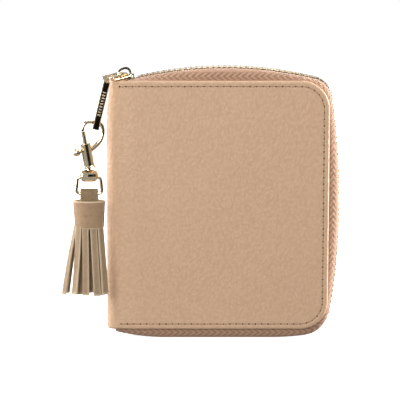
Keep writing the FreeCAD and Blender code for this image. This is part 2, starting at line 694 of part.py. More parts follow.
def make_tassel():
    """Leather tassel: a strap looped over the eye, a rolled cap, its core and the cut fringe."""
    cap = Part.makeLoft([oval(CAP_BOTTOM, 0, CAP_WAIST), oval(CAP_TOP)], True)
    foot, brim = oval(CAP_BOTTOM - 0.01, -CAP_WALL, CAP_WAIST), oval(CAP_TOP + 0.01, -CAP_WALL)
    hollow = Part.makeLoft([foot, brim], True)
    save("tassel_cap", cap.cut(hollow))
    inner, outer = EYE_WIRE / 2 + 0.25, EYE_WIRE / 2 + 0.25 + STRAP
    half = STRAP_WIDTH / 2
    low = CAP_BOTTOM + 4.0
    start = V(SWIVEL.x - half, SWIVEL.y, EYE_BAR_Z)

    def slab(reach, bottom):
        return Part.makeCylinder(reach, STRAP_WIDTH, start, V(1, 0, 0)).fuse(Part.makeBox(
            STRAP_WIDTH, 2 * reach, EYE_BAR_Z - bottom, V(start.x, SWIVEL.y - reach, bottom)))

    strap = slab(outer, low).cut(slab(inner, CAP_TOP - 1.5)).removeSplitter()
    save("tassel_strap", strap)
    grow = -CAP_WALL - 0.05
    core = Part.makeLoft([oval(CAP_BOTTOM, grow, CAP_WAIST), oval(CAP_TOP - 0.9, grow)], True)
    save("tassel_core", core.cut(slab(outer + 0.03, low - 0.03)))
    save("tassel_fringe", *fringe())


def strand(x, y, facing, spread):
    """One cut strip that hangs from the core's rim and splays a little."""
    def across(cx, cy, z):
        way = V(-math.sin(facing), math.cos(facing), 0)
        out = V(math.cos(facing), math.sin(facing), 0)
        centre = V(SWIVEL.x + cx, SWIVEL.y + cy, z)
        side, face = way * (STRAND[0] / 2), out * (STRAND[1] / 2)
        loop = [centre - side - face, centre + side - face, centre + side + face, centre - side + face]
        return Part.makePolygon(loop + [loop[0]])

    low = across(x * spread[0], y * spread[1], FRINGE_BOTTOM)
    return Part.makeLoft([across(x, y, CAP_BOTTOM - 0.05), low], True, True)


def fringe():
    """Strips round the core, those away from the wallet splaying most, and three inside them."""
    strips = []
    wide, deep = FRINGE_RING
    for i in range(FRINGE_COUNT):
        angle = 2 * math.pi * (i + 0.5) / FRINGE_COUNT
        x, y = wide * math.cos(angle), deep * math.sin(angle)
        facing = math.atan2(y / deep**2, x / wide**2)
        spread = (1.5 if x < 0 else 1.12, 1.12)
        strips.append(strand(x, y, facing, spread))
    strips += [strand(x, 0, math.pi / 2, (1.3, 1)) for x in (-2.9, 0.0, 2.9)]
    return strips


os.makedirs("parts", exist_ok=True)
make_covers()
make_zip()
make_pockets()
make_slider()
make_hook(make_bar(make_link()))
make_swivel()
make_tassel()
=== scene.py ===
"""Looks of the zip around wallet: pebbled leather covers, zip, gold fittings, tassel and inside pockets."""
import math
import random

import bmesh
import bpy
import numpy as np
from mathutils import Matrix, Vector


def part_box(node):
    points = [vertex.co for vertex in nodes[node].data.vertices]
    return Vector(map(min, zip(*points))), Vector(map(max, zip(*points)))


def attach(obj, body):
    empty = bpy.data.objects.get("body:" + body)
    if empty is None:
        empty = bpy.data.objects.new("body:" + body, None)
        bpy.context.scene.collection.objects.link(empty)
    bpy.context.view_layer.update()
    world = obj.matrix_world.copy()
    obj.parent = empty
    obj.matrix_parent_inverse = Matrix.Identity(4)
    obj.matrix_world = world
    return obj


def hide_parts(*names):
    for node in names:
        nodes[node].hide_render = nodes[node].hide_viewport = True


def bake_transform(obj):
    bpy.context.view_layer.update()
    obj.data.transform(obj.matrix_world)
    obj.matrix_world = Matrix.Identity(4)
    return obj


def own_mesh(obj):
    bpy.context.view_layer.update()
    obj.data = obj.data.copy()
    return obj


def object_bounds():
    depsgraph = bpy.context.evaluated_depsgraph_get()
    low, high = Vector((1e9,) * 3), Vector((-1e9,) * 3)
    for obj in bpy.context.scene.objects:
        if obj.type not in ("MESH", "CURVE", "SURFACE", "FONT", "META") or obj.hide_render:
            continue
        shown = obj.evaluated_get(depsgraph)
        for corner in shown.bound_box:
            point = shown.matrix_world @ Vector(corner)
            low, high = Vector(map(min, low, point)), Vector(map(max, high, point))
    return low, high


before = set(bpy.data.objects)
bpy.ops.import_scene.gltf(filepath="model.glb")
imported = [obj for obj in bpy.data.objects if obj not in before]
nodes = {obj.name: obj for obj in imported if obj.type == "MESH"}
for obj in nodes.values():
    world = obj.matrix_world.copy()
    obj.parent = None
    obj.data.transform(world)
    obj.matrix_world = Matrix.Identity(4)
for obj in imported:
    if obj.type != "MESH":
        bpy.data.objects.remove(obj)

MM = 0.001
cad_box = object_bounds()

# Sizes in millimetres, apart from STEADY_LEAN, which is a share of SPINE_LEAN
CORNER_RADIUS = 12.7
SPINE_RADIUS = 4.0
HALF_COVER = 0.95
STITCH_INSET = 2.5
STITCH_PITCH = 2.9
THREAD = 0.24
TAPE = 0.6
SPINE_LEAN = 2.0
STEADY_LEAN = 0.25
LEAN_REACH = 14.0
SPINE_BULGE = 0.9
BEND_HOLLOW = 0.55


def box_mm(node):
    """Lowest and highest corners of a CAD node in millimetres."""
    low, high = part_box(node)
    return low / MM, high / MM


def placed(name, data):
    """A new object in the scene."""
    thing = bpy.data.objects.new(name, data)
    bpy.context.scene.collection.objects.link(thing)
    return thing


# Meshes


def piece(name, points, faces, material, slot, uv=None, marks=None, sharp=50.0):
    """A mesh object from points in millimetres, with optional UVs and per-point marks."""
    mesh = bpy.data.meshes.new(name)
    mesh.from_pydata((np.asarray(points, float) * MM).tolist(), [], faces)
    if uv is not None:
        corner = np.zeros(len(mesh.loops), int)
        mesh.loops.foreach_get("vertex_index", corner)
        layer = mesh.uv_layers.new(name="UVMap")
        layer.data.foreach_set("uv", np.asarray(uv, np.float32)[corner].ravel())
    for mark, values in (marks or {}).items():
        attribute = mesh.attributes.new(mark, "FLOAT", "POINT")
        attribute.data.foreach_set("value", np.asarray(values, np.float32))
    weld(mesh)
    mesh.polygons.foreach_set("use_smooth", [True] * len(mesh.polygons))
    mesh.set_sharp_from_angle(angle=math.radians(sharp))
    mesh.materials.append(material)
    thing = placed(name, mesh)
    return thing


def weld(mesh):
    """Joins coincident points and turns all faces outward."""
    shape = bmesh.new()
    shape.from_mesh(mesh)
    bmesh.ops.remove_doubles(shape, verts=shape.verts, dist=1e-7)
    bmesh.ops.dissolve_degenerate(shape, dist=1e-8, edges=shape.edges)
    bmesh.ops.recalc_face_normals(shape, faces=shape.faces)
    shape.to_mesh(mesh)
    shape.free()


def grid_faces(rows, columns, wrap=False):
    """Quads of a grid of points, closed round its columns if it wraps."""
    last = columns if wrap else columns - 1
    return [
        (i * columns + j, i * columns + (j + 1) % columns,
         (i + 1) * columns + (j + 1) % columns, (i + 1) * columns + j)
        for i in range(rows - 1) for j in range(last)
    ]


def slab(top, under):
    """Points and faces of a closed slab between two grids of the same size."""
    rows, columns = top.shape[:2]
    size = rows * columns
    faces = grid_faces(rows, columns)
    faces += [tuple(size + k for k in reversed(f)) for f in grid_faces(rows, columns)]
    rim = [(i, 0) for i in range(rows)] + [(rows - 1, j) for j in range(1, columns)]
    rim += [(i, columns - 1) for i in range(rows - 2, -1, -1)] + [(0, j) for j in range(columns - 2, 0, -1)]
    ring = [i * columns + j for i, j in rim]
    faces += [(a, b, size + b, size + a) for a, b in zip(ring, ring[1:] + ring[:1])]
    return np.concatenate([top.reshape(-1, 3), under.reshape(-1, 3)]), faces


def both(values):
    """Marks given once for each point of a slab's grid, repeated for its other face."""
    return np.tile(np.array(values).ravel(), 2)


def tube(path, radii, sides):
    """Points and faces of a closed tube along a path, all in millimetres."""
    path = [Vector(p) for p in path]
    radii = radii if hasattr(radii, "__len__") else [radii] * len(path)
    side = None
    points = []
    for i, p in enumerate(path):
        way = (path[min(i + 1, len(path) - 1)] - path[max(i - 1, 0)]).normalized()
        if side is None:
            side = way.orthogonal().normalized()
        side = (side - way * side.dot(way)).normalized()
        up = way.cross(side)
        for k in range(sides):
            angle = 2 * math.pi * k / sides
            points.append(p + (side * math.cos(angle) + up * math.sin(angle)) * radii[i])
    faces = grid_faces(len(path), sides, wrap=True)
    faces.append(tuple(range(sides)))
    faces.append(tuple(reversed(range((len(path) - 1) * sides, len(path) * sides))))
    return points, faces


class Batch:
    """Many small closed shapes gathered into one mesh."""

    def __init__(self):
        self.points, self.faces = [], []

    def add(self, points, faces):
        first = len(self.points)
        self.points += [tuple(p) for p in points]
        self.faces += [tuple(first + k for k in f) for f in faces]


def pebbles(u, v, size, seed, stretch=1.2):
    """Leather grain: 1 on the domes of irregular cells, 0 in the valleys between them."""
    draw = np.random.default_rng(seed)
    u, v = u / size, v / (size * stretch)
    u, v = u + 0.25 * np.sin(v * 1.7 + seed), v + 0.25 * np.sin(u * 1.3)
    low_u, low_v = int(np.floor(u.min())) - 1, int(np.floor(v.min())) - 1
    across, along = int(np.ceil(u.max())) - low_u + 3, int(np.ceil(v.max())) - low_v + 3
    jitter = draw.random((across, along, 2))
    cell_u, cell_v = np.floor(u).astype(int), np.floor(v).astype(int)
    near, second = np.full(u.shape, 9.0), np.full(u.shape, 9.0)
    for du in (-1, 0, 1):
        for dv in (-1, 0, 1):
            i, j = cell_u + du, cell_v + dv
            spot = jitter[i - low_u, j - low_v]
            distance = np.hypot(i + spot[..., 0] - u, j + spot[..., 1] - v)
            second = np.minimum(second, np.maximum(near, distance))
            near = np.minimum(near, distance)
    return np.clip((second - near) * 2.2, 0, 1) ** 0.6


def smooth_step(low, high, value):
    t = np.clip((np.asarray(value, float) - low) / (high - low), 0, 1)
    return t * t * (3 - 2 * t)


# Materials


class Shader:
    """A small builder of node materials."""

    def __init__(self, name, **sockets):
        self.material = bpy.data.materials.new(name)
        self.material.use_nodes = True
        self.tree = self.material.node_tree
        self.base = self.tree.nodes["Principled BSDF"]
        for socket, value in sockets.items():
            self.base.inputs[socket.replace("_", " ")].default_value = value

    def node(self, kind, **settings):
        made = self.tree.nodes.new("ShaderNode" + kind)
        for key, value in settings.items():
            if key[0].isupper():
                made.inputs[key.replace("_", " ")].default_value = value
            else:
                setattr(made, key, value)
        return made

    def link(self, source, target):
        self.tree.links.new(source, target)

    def coordinates(self, output="Object", scale=(1, 1, 1)):
        source = self.node("TexCoord").outputs[output]
        mapping = self.node("Mapping", Scale=scale)
        self.link(source, mapping.inputs["Vector"])
        return mapping.outputs["Vector"]

    def noise(self, vector, scale, detail=4.0, roughness=0.55):
        made = self.node("TexNoise", Scale=scale, Detail=detail, Roughness=roughness)
        self.link(vector, made.inputs["Vector"])
        return made.outputs["Fac"]

    def ramp(self, source, *stops):
        """A ramp of greys, each stop a place and a grey."""
        made = self.node("ValToRGB")
        points = made.color_ramp.elements
        while len(points) < len(stops):
            points.new(0.5)
        for point, (place, grey) in zip(points, stops):
            point.position = place
            point.color = (grey, grey, grey, 1)
        self.link(source, made.inputs["Fac"])
        return made.outputs["Color"]

    def feed(self, socket, value):
        """Links an output to a socket, or sets a number or colour on it."""
        if hasattr(value, "is_linked"):
            self.link(value, socket)
        else:
            socket.default_value = value if isinstance(value, float) else (*value, 1)

    def mix(self, share, first, second, blend="MIX"):
        made = self.node("Mix", data_type="RGBA", blend_type=blend)
        for place, value in ((0, share), (6, first), (7, second)):
            self.feed(made.inputs[place], value)
        return made.outputs[2]

    def math(self, operation, first, second):
        made = self.node("Math", operation=operation)
        for socket, value in zip(made.inputs, (first, second)):
            self.feed(socket, value)
        return made.outputs[0]

    def bump(self, height, distance, strength=1.0, after=None):
        made = self.node("Bump", Strength=strength, Distance=distance)
        self.link(height, made.inputs["Height"])
        if after is not None:
            self.link(after, made.inputs["Normal"])
        return made.outputs["Normal"]

    def set(self, socket, source):
        self.link(source, self.base.inputs[socket])

    def mark(self, name):
        return self.node("Attribute", attribute_name=name).outputs["Fac"]


def rgb(*channels):
    """Linear colour from display values of 0 to 255."""
    return tuple(((c / 255 + 0.055) / 1.055) ** 2.4 if c > 10 else c / 255 / 12.92 for c in channels)


def scaled(colour, share):
    return tuple(c * share for c in colour)


def grained_leather(name, colour, cell, depth):
    """Pebbled leather: small domed cells with fine creases and pores, soft changes of colour, painted shade
    in the valleys between cells, and wear and painted shade where marked.
    """
    made = Shader(name, Specular_IOR_Level=0.42, Coat_Weight=0.05, Coat_Roughness=0.35)
    place = made.coordinates("UV", (1.0, 0.78, 1.0))
    shift = made.node("VectorMath", operation="MULTIPLY_ADD")
    made.link(made.noise(place, 420.0, 2.0), shift.inputs[0])
    shift.inputs[1].default_value = (cell * 0.9, cell * 0.8, 0.0)
    made.link(place, shift.inputs[2])
    cells = made.node("TexVoronoi", feature="SMOOTH_F1", Scale=1 / cell, Smoothness=0.35)
    made.link(shift.outputs[0], cells.inputs["Vector"])
    dome = made.ramp(cells.outputs["Distance"], (0.1, 1), (0.42, 0.55), (0.75, 0))
    small = made.node("TexVoronoi", feature="DISTANCE_TO_EDGE", Scale=2.1 / cell)
    made.link(shift.outputs[0], small.inputs["Vector"])
    creases = made.ramp(small.outputs["Distance"], (0.0, 0), (0.22, 1))
    pores = made.noise(place, 3200.0, 3.0)
    normal = made.bump(dome, depth, 0.85)
    normal = made.bump(creases, depth * 0.22, 0.7, normal)
    made.set("Normal", made.bump(pores, depth * 0.2, 0.7, normal))
    patches = made.noise(place, 30.0, 3.0)
    flecks = made.ramp(made.noise(place, 520.0, 3.0), (0.35, 0), (0.65, 1))
    tone = made.mix(patches, scaled(colour, 0.96), scaled(colour, 1.04))
    tone = made.mix(flecks, made.mix(1.0, tone, (0.965, 0.96, 0.955), "MULTIPLY"), tone)
    # Painted shade: the valleys between the cells are darkened.
    tone = made.mix(dome, made.mix(1.0, tone, (0.91, 0.9, 0.885), "MULTIPLY"), tone)
    # Darker where marked: wear at the rolled rim, painted shade in the stitch channel.
    made.set("Base Color", made.mix(made.mark("wear_and_shade"), tone, scaled(colour, 0.62)))
    made.set("Roughness", made.ramp(dome, (0.0, 0.62), (1.0, 0.44)))
    return made.material


def smooth_leather(name, colour, edge=None, grain=2400.0, depth=0.00005):
    """Fine leather with short creases and painted shade in their hollows, and a paler cut edge where it is
    marked.
    """
    made = Shader(name, Roughness=0.55, Specular_IOR_Level=0.35)
    place = made.coordinates()
    pores = made.noise(place, grain, 4.0)
    creases = made.noise(place, 520.0, 5.0, 0.7)
    made.set("Normal", made.bump(creases, depth * 2.5, 0.7, made.bump(pores, depth, 0.8)))
    patches = made.noise(place, 130.0, 4.0)
    tone = made.mix(patches, scaled(colour, 0.86), scaled(colour, 1.1))
    # Painted shade: darker in the hollows of the creases.
    tone = made.mix(made.ramp(creases, (0.3, 1), (0.5, 0)), tone, scaled(colour, 0.72))
    if edge:
        tone = made.mix(made.mark("cut"), tone, edge)
    made.set("Base Color", tone)
    made.set("Roughness", made.ramp(pores, (0.3, 0.5), (0.7, 0.68)))
    return made.material


def woven(name, colour, dark, pitch, depth=0.00006, source="UV"):
    """Plain woven fabric with warp and weft threads at a given pitch, on coordinates in metres, and painted
    shade in grooves where marked.
    """
    made = Shader(name, Roughness=0.85, Sheen_Weight=0.25, Sheen_Roughness=0.4)
    place = made.coordinates(source)
    warp, weft = (made.node("TexWave", bands_direction=way, Scale=0.5 / pitch, Distortion=0.4, Detail=1.0)
                  for way in "XY")
    for wave in (warp, weft):
        made.link(place, wave.inputs["Vector"])
    weave = made.math("MULTIPLY", warp.outputs["Fac"], weft.outputs["Fac"])
    fuzz = made.noise(place, 1500.0, 3.0)
    height = made.math("ADD", weave, made.math("MULTIPLY", fuzz, 0.4))
    made.set("Normal", made.bump(height, depth, 0.8))
    tone = made.mix(weave, dark, colour)
    # Painted shade: darker in the grooves marked on the mesh.
    tone = made.mix(made.mark("groove_shade"), tone, scaled(dark, 0.55))
    made.set("Base Color", tone)
    return made.material


def polished(name, colour, roughness, scratch=0.00001):
    """Plated metal with faint wear: fine scratches, and cloudier patches."""
    made = Shader(name, Metallic=1.0)
    place = made.coordinates()
    clouds = made.noise(place, 350.0, 4.0)
    lines = made.noise(made.coordinates("Object", (1, 1, 7)), 900.0, 2.0)
    made.set("Roughness", made.ramp(clouds, (0.3, roughness * 0.7), (0.75, roughness * 1.6)))
    made.set("Normal", made.bump(lines, scratch, 0.5))
    made.set("Base Color", made.mix(clouds, scaled(colour, 0.93), colour))
    return made.material


def clear_film(name):
    """Clear plastic sheet with faint ripples and scuffs."""
    made = Shader(name, Transmission_Weight=0.95, IOR=1.46, Base_Color=(0.96, 0.96, 0.94, 1))
    place = made.coordinates()
    made.set("Normal", made.bump(made.noise(place, 160.0, 2.0), 0.00008, 0.5))
    made.set("Roughness", made.ramp(made.noise(place, 900.0, 4.0), (0.35, 0.05), (0.75, 0.22)))
    return made.material


leather = grained_leather("pebbled_leather", rgb(208, 172, 140), 0.0012, 0.00014)
inner_leather = smooth_leather("inside_leather", rgb(196, 160, 126), rgb(214, 190, 160))
tassel_leather = smooth_leather("tassel_leather", rgb(166, 136, 106), rgb(214, 192, 160))
# The strap's leather is darker than the cap's, as painted shade.
strap_leather = smooth_leather("strap_shaded_leather", rgb(136, 112, 82), rgb(176, 150, 116))
suede = smooth_leather("fringe_suede", rgb(160, 134, 106), rgb(204, 184, 154), 3200.0, 0.00009)
thread = woven("thread", rgb(204, 172, 140), rgb(158, 124, 92), 0.0002, 0.00003, source="Object")
# Near-black brown for the discs at the needle holes: painted shade.
needle_hole_shade = smooth_leather("needle_hole_shade", rgb(74, 46, 26))
tape_cloth = woven("zip_tape_cloth", rgb(224, 187, 160), rgb(166, 126, 98), 0.00034)
lining_cloth = woven("lining_cloth", rgb(196, 166, 134), rgb(150, 118, 88), 0.00045)
satin_gold = polished("satin_gold", (1.0, 0.9, 0.68), 0.5, 0.00003)
gold = polished("pale_gold", (0.97, 0.82, 0.57), 0.12)
tooth_gold = polished("tooth_gold", (0.36, 0.28, 0.18), 0.32)
steel = polished("spring_wire", (0.55, 0.54, 0.52), 0.3)
coil_plastic = smooth_leather("coil_nylon", rgb(170, 132, 100))
film = clear_film("window_film")


# Covers and spine

FRONT_LOW, FRONT_HIGH = box_mm("front_cover")
COVER_RIGHT, COVER_LEFT = FRONT_HIGH.x, FRONT_LOW.x
COVER_BOTTOM, COVER_TOP = FRONT_LOW.z, FRONT_HIGH.z
COVER_HEIGHT = COVER_TOP - COVER_BOTTOM
FACE_Y = FRONT_LOW.y
FLAT_RUN = COVER_RIGHT - (COVER_LEFT + SPINE_RADIUS)
BEND_RUN = (SPINE_RADIUS - HALF_COVER) * math.pi / 2
HALF_SPINE = -FACE_Y - SPINE_RADIUS


def edge_rows():
    """Distances from a rolled edge: round the roll, then across the stitch line."""
    roll = [HALF_COVER * (1 - math.cos(math.radians(a))) for a in range(0, 91, 15)]
    return roll + [1.2, 1.5, 1.8, 2.05, 2.25, 2.4, 2.5, 2.6, 2.75, 2.95, 3.2, 3.6, 4.2]


def spread(start, end, step):
    """Evenly spaced values after start, up to and with end."""
    count = max(1, round((end - start) / step))
    return [start + (end - start) * (i + 1) / count for i in range(count)]


def cover_grid(s, t):
    """Where cover grid lines s (from the right edge) and t (from the base) fall, and their edge distance."""
    s, t = np.meshgrid(s, t, indexing="ij")
    top = COVER_HEIGHT - t
    from_end = np.minimum(t, top)
    edge = np.minimum(s, from_end)
    corner = (s < CORNER_RADIUS) & (from_end < CORNER_RADIUS)
    a = np.where(corner, 1 - s / CORNER_RADIUS, 0)
    b = np.where(corner, 1 - from_end / CORNER_RADIUS, 0)
    reach = np.maximum(a, b)
    big, small = np.maximum(reach, 1e-9), np.minimum(a, b)
    angle = np.where(a >= b, math.pi / 4 * small / big, math.pi / 2 - math.pi / 4 * small / big)
    run = np.where(corner, CORNER_RADIUS * (1 - reach * np.cos(angle)), s)
    rise = np.where(corner, CORNER_RADIUS * (1 - reach * np.sin(angle)), from_end)
    up = np.where(t <= top, rise, COVER_HEIGHT - rise)
    return run, up, edge


def cover_point(run, up, off, side):
    """A point at a run from the right edge round to the spine's middle, off outward from mid-thickness."""
    radius = SPINE_RADIUS - HALF_COVER
    bend = np.clip((run - FLAT_RUN) / radius, 0, math.pi / 2)
    beyond = np.clip(run - FLAT_RUN - BEND_RUN, 0, None)
    x = COVER_RIGHT - np.minimum(run, FLAT_RUN) - (radius + off) * np.sin(bend)
    y = HALF_SPINE + (radius + off) * np.cos(bend) - beyond
    z = COVER_BOTTOM + up
    return np.stack([x + spine_lean(x, z), side * y, z], -1)


def spine_lean(x, z):
    """How far the rounded spine bulges out, and leans in towards its top."""
    near = 1 - smooth_step(COVER_LEFT, COVER_LEFT + LEAN_REACH, x)
    steady = STEADY_LEAN * (z - COVER_BOTTOM) / COVER_HEIGHT
    return near * (SPINE_LEAN * (steady + smooth_step(COVER_TOP - 20.0, COVER_TOP + 8.0, z)) - SPINE_BULGE)


def make_cover(side, name, seed):
    """One cover and its half of the spine, as turned leather over board."""
    end = FLAT_RUN + BEND_RUN + HALF_SPINE
    rows = edge_rows()
    s = rows + spread(rows[-1], end, 0.62)
    t = rows + spread(rows[-1], COVER_HEIGHT - rows[-1], 0.62)[:-1]
    t += [COVER_HEIGHT - r for r in reversed(rows)]
    run, up, edge = cover_grid(np.array(s), np.array(t))
    roll = np.sqrt(np.clip(1 - (1 - np.minimum(edge, HALF_COVER) / HALF_COVER) ** 2, 0, 1)) * HALF_COVER
    stitched = 1 - smooth_step(FLAT_RUN - 3.5, FLAT_RUN - 1.5, run)
    channel = np.exp(-((edge - STITCH_INSET) / 0.4) ** 2) * stitched
    lip = np.exp(-((edge - 1.3) / 0.5) ** 2) * stitched
    from_seam = smooth_step(0.0, 5.0, end - run)
    grain = pebbles(run, up, 1.9, seed) - 1
    swell = np.sin(run / 31 + seed) * np.sin(up / 27 + 1.3 * seed) * smooth_step(4, 18, edge)
    surface = (0.025 * grain * smooth_step(0.6, 1.4, edge) + 0.08 * swell) * from_seam
    relief = surface - 0.08 * channel + 0.04 * lip
    bend_start = FLAT_RUN + 1.0
    hollow = smooth_step(FLAT_RUN - 10.0, bend_start, run) * (1 - smooth_step(bend_start, end, run))
    relief -= BEND_HOLLOW * hollow
    outer = cover_point(run, up, roll + relief, side)
    inner = cover_point(run, up, -roll, side)
    points, faces = slab(outer, inner)
    across = run if side < 0 else 2 * end - run
    uv = np.stack([across, up], -1).reshape(-1, 2) * MM
    # Darker at the rolled rim as wear, and a little darker in the stitch channel as painted shade.
    wear_and_shade = np.clip(0.06 * channel + 0.2 * (1 - smooth_step(0.1, 0.8, edge)), 0, 1)
    return piece(name, points, faces, leather, "cover_leather", np.tile(uv, (2, 1)), {"wear_and_shade": both(wear_and_shade)})


def outline_walk(inset):
    """The stitch line of a cover: out along the top, down the right side, back along the base."""
    left = COVER_LEFT + SPINE_RADIUS + 2.0
    right, radius = COVER_RIGHT - inset, CORNER_RADIUS - inset
    low, high = COVER_BOTTOM + inset, COVER_TOP - inset
    walk = [(left, high)]
    for middle_z, start in ((high - radius, 90), (low + radius, 0)):
        for step in range(19):
            angle = math.radians(start - 5 * step)
            walk.append((right - radius + radius * math.cos(angle), middle_z + radius * math.sin(angle)))
    return walk + [(left, low)]


def even_points(walk, pitch):
    """Evenly spaced points along a walk of (x, z) pairs, at about a pitch."""
    walk = np.array(walk)
    lengths = np.concatenate([[0], np.cumsum(np.linalg.norm(np.diff(walk, axis=0), axis=1))])
    at = np.linspace(0, lengths[-1], round(lengths[-1] / pitch) + 1)
    return np.stack([np.interp(at, lengths, walk[:, 0]), np.interp(at, lengths, walk[:, 1])], -1)


def sew(name, walk, face_y, outward, body, pitch=STITCH_PITCH, size=THREAD, sunk=0.05):
    """Stitches along a walk on a face at face_y: threads that dive into needle holes, whose dark discs are
    painted shade.
    """
    threads, holes = Batch(), Batch()
    spots = even_points(walk, pitch)
    draw = random.Random(name)
    for first, second in zip(spots, spots[1:]):
        run = second - first
        away = np.array([-run[1], run[0]]) / np.linalg.norm(run)
        lean = draw.uniform(-0.05, 0.05)
        path = []
        for step in range(9):
            share = 0.1 + 0.8 * step / 8
            arch = math.sin(math.pi * step / 8)
            x, z = first + run * share + away * (lean * arch + 0.1 * size * (share - 0.5))
            path.append((x, face_y + outward * (size * (1.15 * arch ** 0.5 - 1.1) - sunk), z))
        ends = [size * (0.55 + 0.45 * math.sin(math.pi * (k + 0.5) / 9) ** 0.5) for k in range(9)]
        threads.add(*tube(path, ends, 8))
    # Dark discs at the needle holes: painted shade inside the holes.
    for x, z in spots:
        lip_y = face_y - outward * (sunk - 0.03)
        rim = 0.33 + draw.uniform(-0.03, 0.05)
        holes.add(*tube([(x, lip_y - outward * 0.3, z), (x, lip_y, z), (x, lip_y + outward * 0.02, z)],
                        [rim, rim, rim * 0.75], 12))
    sewn = piece(name, threads.points, threads.faces, thread, "cover_leather", sharp=80)
    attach(sewn, body)
    punched = piece(name + "_hole_shade", holes.points, holes.faces, needle_hole_shade, "cover_leather", sharp=80)
    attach(punched, body)


def make_leather():
    front = make_cover(-1, "front_leather", 3)
    back = make_cover(1, "back_leather", 8)
    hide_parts("front_cover", "front_board", "spine_cover")
    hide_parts("back_cover", "back_board")
    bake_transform(front)
    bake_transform(back)
    walk = outline_walk(STITCH_INSET)
    sew("front_stitches", walk, FACE_Y, -1, "front")
    sew("back_stitches", walk, -FACE_Y, 1, "back")


# Zip tape

TOP_ARC = ((3.0, -53.4), 176.0)
SIDE_ARC = ((-262.5, 62.0), 317.0)
CORNER_RADII = (10.0, 12.0)
BASE_ENDS = (-24.0, 24.0)
BASE_RADII = (90.0, 120.0)
CHAIN_HALF = 1.15
CHAIN_START = -46.5


def nested_corner(first, second, radius, upper):
    """Centre of the corner circle that touches two larger circles from inside."""
    (hub_a, reach_a), (hub_b, reach_b) = first, second
    a, b = reach_a - radius, reach_b - radius
    dx, dz = hub_b[0] - hub_a[0], hub_b[1] - hub_a[1]
    gap = math.hypot(dx, dz)
    along = (a * a - b * b + gap * gap) / (2 * gap)
    aside = math.sqrt(a * a - along * along)
    foot = (hub_a[0] + dx * along / gap, hub_a[1] + dz * along / gap)
    options = [(foot[0] + k * dz * aside / gap, foot[1] - k * dx * aside / gap) for k in (1, -1)]
    return max(options) if upper else max(options, key=lambda p: p[0])


def chain_line(step):
    """Points of the zip chain's middle line, top left round to bottom left."""
    left_base = ((BASE_ENDS[0], CHAIN_HALF + BASE_RADII[0]), BASE_RADII[0])
    right_base = ((BASE_ENDS[1], CHAIN_HALF + BASE_RADII[1]), BASE_RADII[1])
    upper = (nested_corner(TOP_ARC, SIDE_ARC, CORNER_RADII[0], True), CORNER_RADII[0])
    lower = (nested_corner(right_base, SIDE_ARC, CORNER_RADII[1], False), CORNER_RADII[1])

    def joint(big, small):
        return math.atan2(small[0][1] - big[0][1], small[0][0] - big[0][0])

    def at_x(circle, x, sign):
        return math.atan2(sign * math.sqrt(circle[1] ** 2 - (x - circle[0][0]) ** 2), x - circle[0][0])

    down = -math.pi / 2
    arcs = [
        (TOP_ARC, at_x(TOP_ARC, CHAIN_START, 1), joint(TOP_ARC, upper)),
        (upper, joint(TOP_ARC, upper), joint(SIDE_ARC, upper)),
        (SIDE_ARC, joint(SIDE_ARC, upper), joint(SIDE_ARC, lower)),
        (lower, joint(SIDE_ARC, lower), joint(right_base, lower)),
        (right_base, joint(right_base, lower), down),
        (left_base, down, at_x(left_base, CHAIN_START, -1)),
    ]
    walk = []
    for (hub, radius), start, end in arcs:
        count = max(6, int(abs(end - start) * radius / 0.3))
        walk += [(hub[0] + radius * math.cos(start + (end - start) * i / count),
                  hub[1] + radius * math.sin(start + (end - start) * i / count)) for i in range(count + 1)]
    return even_points(walk, step)


def rim_frame(x, z):
    """The cover outline's nearest point, the outward way there, and how far outside it the point is."""
    corner = COVER_RIGHT - CORNER_RADIUS
    low, high = COVER_BOTTOM + CORNER_RADIUS, COVER_TOP - CORNER_RADIUS
    if x <= corner:
        top = z > (low + high) / 2
        edge, way = (x, COVER_TOP if top else COVER_BOTTOM), (0.0, 1.0 if top else -1.0)
    elif low <= z <= high:
        edge, way = (COVER_RIGHT, z), (1.0, 0.0)
    else:
        hub = (corner, high if z > high else low)
        reach = math.hypot(x - hub[0], z - hub[1])
        way = ((x - hub[0]) / reach, (z - hub[1]) / reach)
        edge = (hub[0] + way[0] * CORNER_RADIUS, hub[1] + way[1] * CORNER_RADIUS)
    return edge, way, (x - edge[0]) * way[0] + (z - edge[1]) * way[1]


HERRINGBONE = (0.35, 3.4)
TAPE_STEP = 0.4


def tape_profile(bulge, down):
    """Tape's middle line across its width, as (distance from the wallet's middle, distance outside)."""
    rim = -FACE_Y - 2 * HALF_COVER - TAPE / 2 - 0.04
    depth = 3.5 - 1.1 * down
    belly = bulge + (CHAIN_HALF - TAPE / 2) * down
    turn = min(-0.6, belly - 1.6)
    line = [(rim, turn - 2.4), (rim, turn - 0.8)]
    for step in range(13):
        angle = math.radians(7.5 * step)
        line.append((rim - depth * (1 - math.cos(angle)), turn + (belly - turn) * math.sin(angle)))
    return np.array(line + [(4.95, belly), (4.2, bulge), (2.5, bulge)])


